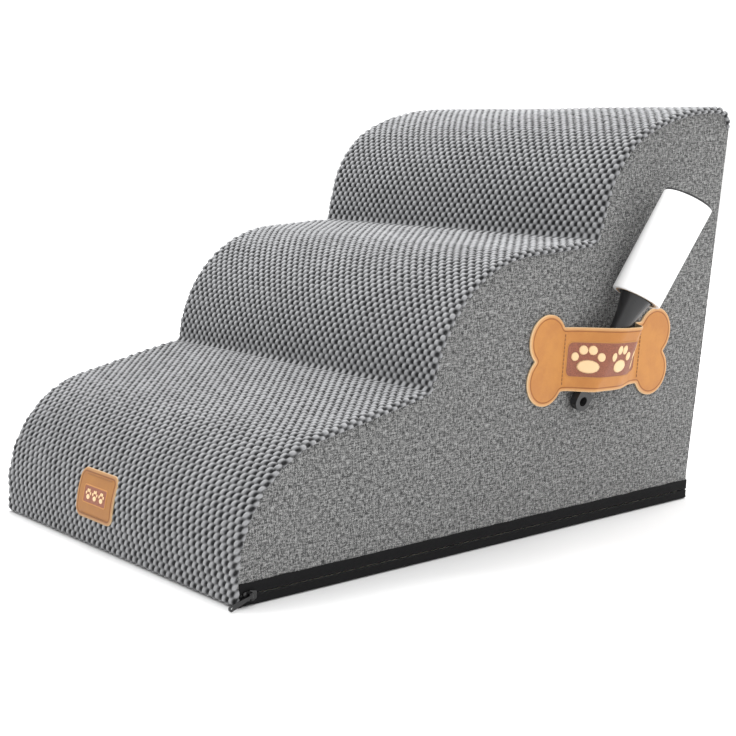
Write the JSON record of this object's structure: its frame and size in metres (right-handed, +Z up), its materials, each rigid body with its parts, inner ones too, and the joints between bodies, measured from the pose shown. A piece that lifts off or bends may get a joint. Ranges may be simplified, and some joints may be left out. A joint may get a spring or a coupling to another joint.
{
  "type": "pet ramp",
  "caption": "Cushioned stepped pet ramp with a rounded plush tread, woven sides, a zipped cover, a leather badge, and a bone-shaped loop that holds a lint roller.",
  "frame": {"origin": "on the floor under the middle of the base", "axes": "+X to the side with the bone-shaped loop, +Y from the low front to the tall back, +Z up"},
  "size_m": [0.4648, 0.6307, 0.4],
  "materials": {
    "foam": "open-cell polyurethane foam",
    "plush": "bumpy knitted plush, mid grey",
    "linen": "heathered linen-look weave, grey",
    "non_slip": "woven cloth with rubber dots, black",
    "binding": "woven tape, black",
    "zip_tape": "woven zip tape, black",
    "zip_coil": "nylon coil, black",
    "zip_metal": "black lacquered die-cast metal",
    "leather": "tan leather, matte",
    "thread": "brown polyester thread",
    "handle_plastic": "black satin plastic",
    "cage_plastic": "white plastic",
    "cap_plastic": "black satin plastic",
    "cardboard": "brown cardboard",
    "adhesive_paper": "white adhesive paper, slight gloss"
  },
  "bodies": {
    "ramp": {"foam_core": "foam", "tread_cover": "plush", "side_panel_right": "linen", "side_panel_left": "linen", "back_panel": "linen", "base_panel": "non_slip", "front_hem_binding": "binding", "zip_tape_upper": "zip_tape", "zip_tape_lower": "zip_tape", "zip_coil_upper": "zip_coil", "zip_coil_lower": "zip_coil", "zip_end_stops": "zip_metal", "front_badge": "leather", "badge_stitching": "thread", "bone_loop": "leather", "bone_stitching": "thread"},
    "slider": {"zip_slider": "zip_metal"},
    "pull": {"zip_pull": "zip_metal"},
    "lint_roller_handle": {"roller_handle": "handle_plastic", "spindle_retainer": "cage_plastic"},
    "lint_roll": {"roller_drum": "cage_plastic", "roller_end_cap": "cap_plastic", "cardboard_core": "cardboard", "adhesive_sheets": "adhesive_paper"}
  },
  "joints": [
    {"name": "zip_slide", "type": "slide", "parent": "ramp", "child": "slider", "axis": [0, 1, 0], "range_m": [0, 0.565]},
    {"name": "zip_pull_swing", "type": "hinge", "parent": "slider", "child": "pull", "pos_m": [0.2039, -0.285, 0.01], "axis": [0, -0.2924, 0.9563], "range_deg": [0, 170]},
    {"name": "roller_pull_out", "type": "slide", "parent": "ramp", "child": "lint_roller_handle", "axis": [0.158, 0.454, 0.8769], "range_m": [0, 0.2]},
    {"name": "roll_spin", "type": "hinge", "parent": "lint_roller_handle", "child": "lint_roll", "pos_m": [0.22359, 0.162, 0.2257], "axis": [0.158, 0.454, 0.8769], "continuous": true}
  ]
}
